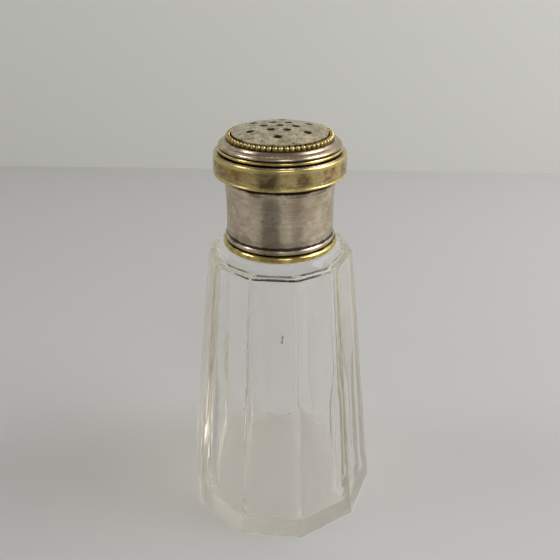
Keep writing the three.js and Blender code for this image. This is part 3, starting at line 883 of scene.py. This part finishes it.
def makeDome():
    # a shallow turned dome, drilled through; the turning leaves the middle hole
    size = cap
    edge, foot, _ = boxOf("pierced_dome")
    sphere = (edge ** 2 + size["domeCrown"] ** 2) / (2 * size["domeCrown"])
    middle = foot + size["domeCrown"] - sphere
    steps = size["domeSteps"]
    radii = [edge + (size["holeRadius"] - edge) * i / steps for i in range(steps + 1)]
    crowns = [middle + sqrt(sphere ** 2 - r ** 2) - size["domeEdge"] * (r / edge) ** size["domeEdgePower"]
              for r in radii]
    turnPiece([(r, crown, 0) for r, crown in zip(radii[::-1], crowns[::-1])]
              + [(r, crown + size["domeWall"], 0) for r, crown in zip(radii, crowns)])
    bpy.ops.object.mode_set(mode='OBJECT')
    dome = bpy.context.object
    drills = []
    for radius, count, turned in size["holeRings"]:
        for i in range(count):
            turn = 2 * pi * (i + turned) / count - pi / 2 + radians(size["domeTurn"])
            deselectAll()
            bpy.ops.mesh.primitive_cylinder_add(
                vertices=28, radius=(size["holeRadius"] + size["holeWear"]) * mm,
                depth=size["drillLength"] * mm,
                location=(radius * cos(turn) * mm, radius * sin(turn) * mm, foot * mm))
            drills.append(bpy.context.object)
    joinAll(drills)
    drill = bpy.context.object
    deselectAll()
    dome.select_set(True)
    bpy.context.view_layer.objects.active = dome
    applyModifier('BOOLEAN', operation='DIFFERENCE', solver='EXACT', object=drill)
    bpy.data.objects.remove(drill)
    applyModifier('BEVEL', width=size["domeRound"] * mm, segments=3, limit_method='ANGLE',
                  angle_limit=radians(50))
    finishPiece("piercedDome", "cap", ["pierced_dome"], domeSilver, 35)


makeScrew()
makeBand()
makeShell()
makeBeads()
makeDome()


# Camera, stage and lights

view = {
    "distance": 184.94,  # mm from the caster's axis
    "height": 185.5,  # mm over the floor
    "downward": 28.26,  # degrees
    "aside": 5.34,  # degrees round from the middle of the front side
    "lens": 39.92,  # mm, for the width of film below
    "film": 36,
}


def around(degrees, distance, height):
    # a place by its degrees round from the camera's side
    turn = radians(view["aside"] - 90 + degrees)
    return (distance * cos(turn), distance * sin(turn), height)


def makeCamera():
    bpy.ops.object.camera_add(
        location=around(0, view["distance"] * mm, view["height"] * mm),
        rotation=(radians(90 - view["downward"]), 0, radians(view["aside"])))
    camera = bpy.context.object
    camera.data.lens = view["lens"]
    camera.data.sensor_width = view["film"]
    camera.data.clip_start = 0.01
    bpy.context.scene.camera = camera


# A pale cloth on a table before a pale wall, both matt and both drawn plain
stage = {
    "floorSize": 4,  # metres
    "wallSize": 3,
    "wallMiddle": 1.0,  # metres over the floor
    "wallDistance": 380.0,  # mm behind the caster
    "wallTurn": 2.4,  # degrees by which the wall isn't square to the view
    "floorGap": 0.05,  # mm of air, since the polished base touches the floor at few points
    "floorColour": "#bebdbb",
    "wallColour": "#e1e1dc",
    "roughness": 0.9,
    "roomColour": "#f2f1ee",
    "roomLight": (0.56, 0.16),  # at eye level and overhead
}


def makeStage():
    floorMaterial = makePlain("paleFloor", linear(stage["floorColour"]), stage["roughness"])
    deselectAll()
    bpy.ops.mesh.primitive_plane_add(size=stage["floorSize"], location=(0, 0, -stage["floorGap"] * mm))
    floor = bpy.context.object
    floor.name = "floor"
    floor.data.materials.append(floorMaterial)
    wallMaterial = makePlain("paleWall", linear(stage["wallColour"]), stage["roughness"])
    bpy.ops.mesh.primitive_plane_add(
        size=stage["wallSize"], location=around(180, stage["wallDistance"] * mm, stage["wallMiddle"]),
        rotation=(radians(90), 0, radians(view["aside"] - stage["wallTurn"])))
    wall = bpy.context.object
    wall.name = "wall"
    wall.data.materials.append(wallMaterial)


# Two wide lamps at the sides, a smaller one in front for the dome and the beads, and two small ones
# that give the cap its short bright highlights. Glass doesn't show them, so its facets stay calm
lamps = [
    # name, degrees round from the camera's side, degrees up, metres away, size in metres, watts
    ("leftLamp", -60, 40, 1.0, 0.8, 0.2),
    ("leftGlint", -88, 48, 1.0, 0.28, 1.4),
    ("frontLamp", 12, 48, 1.0, 0.35, 1.0),
    ("rightLamp", 88, 38, 1.0, 0.8, 5.0),
    ("rightGlint", 90, 47, 1.0, 0.3, 2.2),
]

# Dark things lying and standing round the table, which only the metal reflects: they give the
# collar and the band their dark and middle grey stripes
cards = [
    # name, first and last degrees round, nearest and farthest mm, height of its far edge in mm, how light
    ("darkCard", -38, 0, 110, 420, 0, 0.17),
    ("greyCard", 26, 48, 190, 420, 0, 0.32),
    ("darkScreen", -38, 0, 420, 420, 650, 0.27),
    ("greyScreen", 26, 50, 420, 420, 420, 0.42),
]
cardSteps = 6
cardGap = 0.5  # mm between a card and the floor
lampFoot = 0.1  # metres over the floor, where the lamps' degrees up are counted from


def makeLamps():
    for name, degrees, up, away, size, watts in lamps:
        place = around(degrees, away * cos(radians(up)), away * sin(radians(up)) + lampFoot)
        bpy.ops.object.light_add(type='AREA', location=place)
        lamp = bpy.context.object
        lamp.name = name
        lamp.data.energy = watts
        lamp.data.size = size
        lamp.visible_transmission = False
        direction = -lamp.location
        lamp.rotation_euler = direction.to_track_quat('-Z', 'Y').to_euler()


def makeCards():
    for name, first, last, near, far, high, light in cards:
        mesh = bpy.data.meshes.new(name)
        turns = [first + (last - first) * i / cardSteps for i in range(cardSteps + 1)]
        spots = [around(turn, near * mm, cardGap * mm) for turn in turns]
        spots += [around(turn, far * mm, (cardGap + high) * mm) for turn in turns[::-1]]
        back = 2 * cardSteps
        faces = [(i, i + 1, back - i, back + 1 - i) for i in range(cardSteps)]
        mesh.from_pydata(spots, [], faces)
        card = bpy.data.objects.new(name, mesh)
        bpy.context.collection.objects.link(card)
        mesh.materials.append(makePlain(name, (light, light, light, 1), 1.0))
        card.visible_camera = card.visible_shadow = card.visible_diffuse = card.visible_transmission = False


def makeRoom():
    # soft light from all sides, stronger from the pale walls than from overhead
    world = bpy.data.worlds.new("room")
    bpy.context.scene.world = world
    world.use_nodes = True
    background = world.node_tree.nodes["Background"]
    sky = addNode(world, "ShaderNodeTexCoord", {}, {})
    level = addNode(world, "ShaderNodeSeparateXYZ", {}, {"Vector": sky.outputs["Generated"]})
    low, high = stage["roomLight"]
    fade = addNode(world, "ShaderNodeMapRange", {}, {
        "Value": level.outputs[2], "From Min": 0.0, "From Max": 1.0, "To Min": low, "To Max": high})
    feed(world, background.inputs["Color"], linear(stage["roomColour"]))
    feed(world, background.inputs["Strength"], fade.outputs["Result"])


makeCamera()
makeStage()
makeLamps()
makeCards()
makeRoom()

# light is thrown from wall to wall inside a cut bottle before it comes out
lightBounces = 48
for kind in ("max", "glossy", "transmission"):
    setattr(bpy.context.scene.cycles, kind + "_bounces", lightBounces)
bpy.context.scene.view_settings.view_transform = 'Standard'
print("camera, stage and lights set")
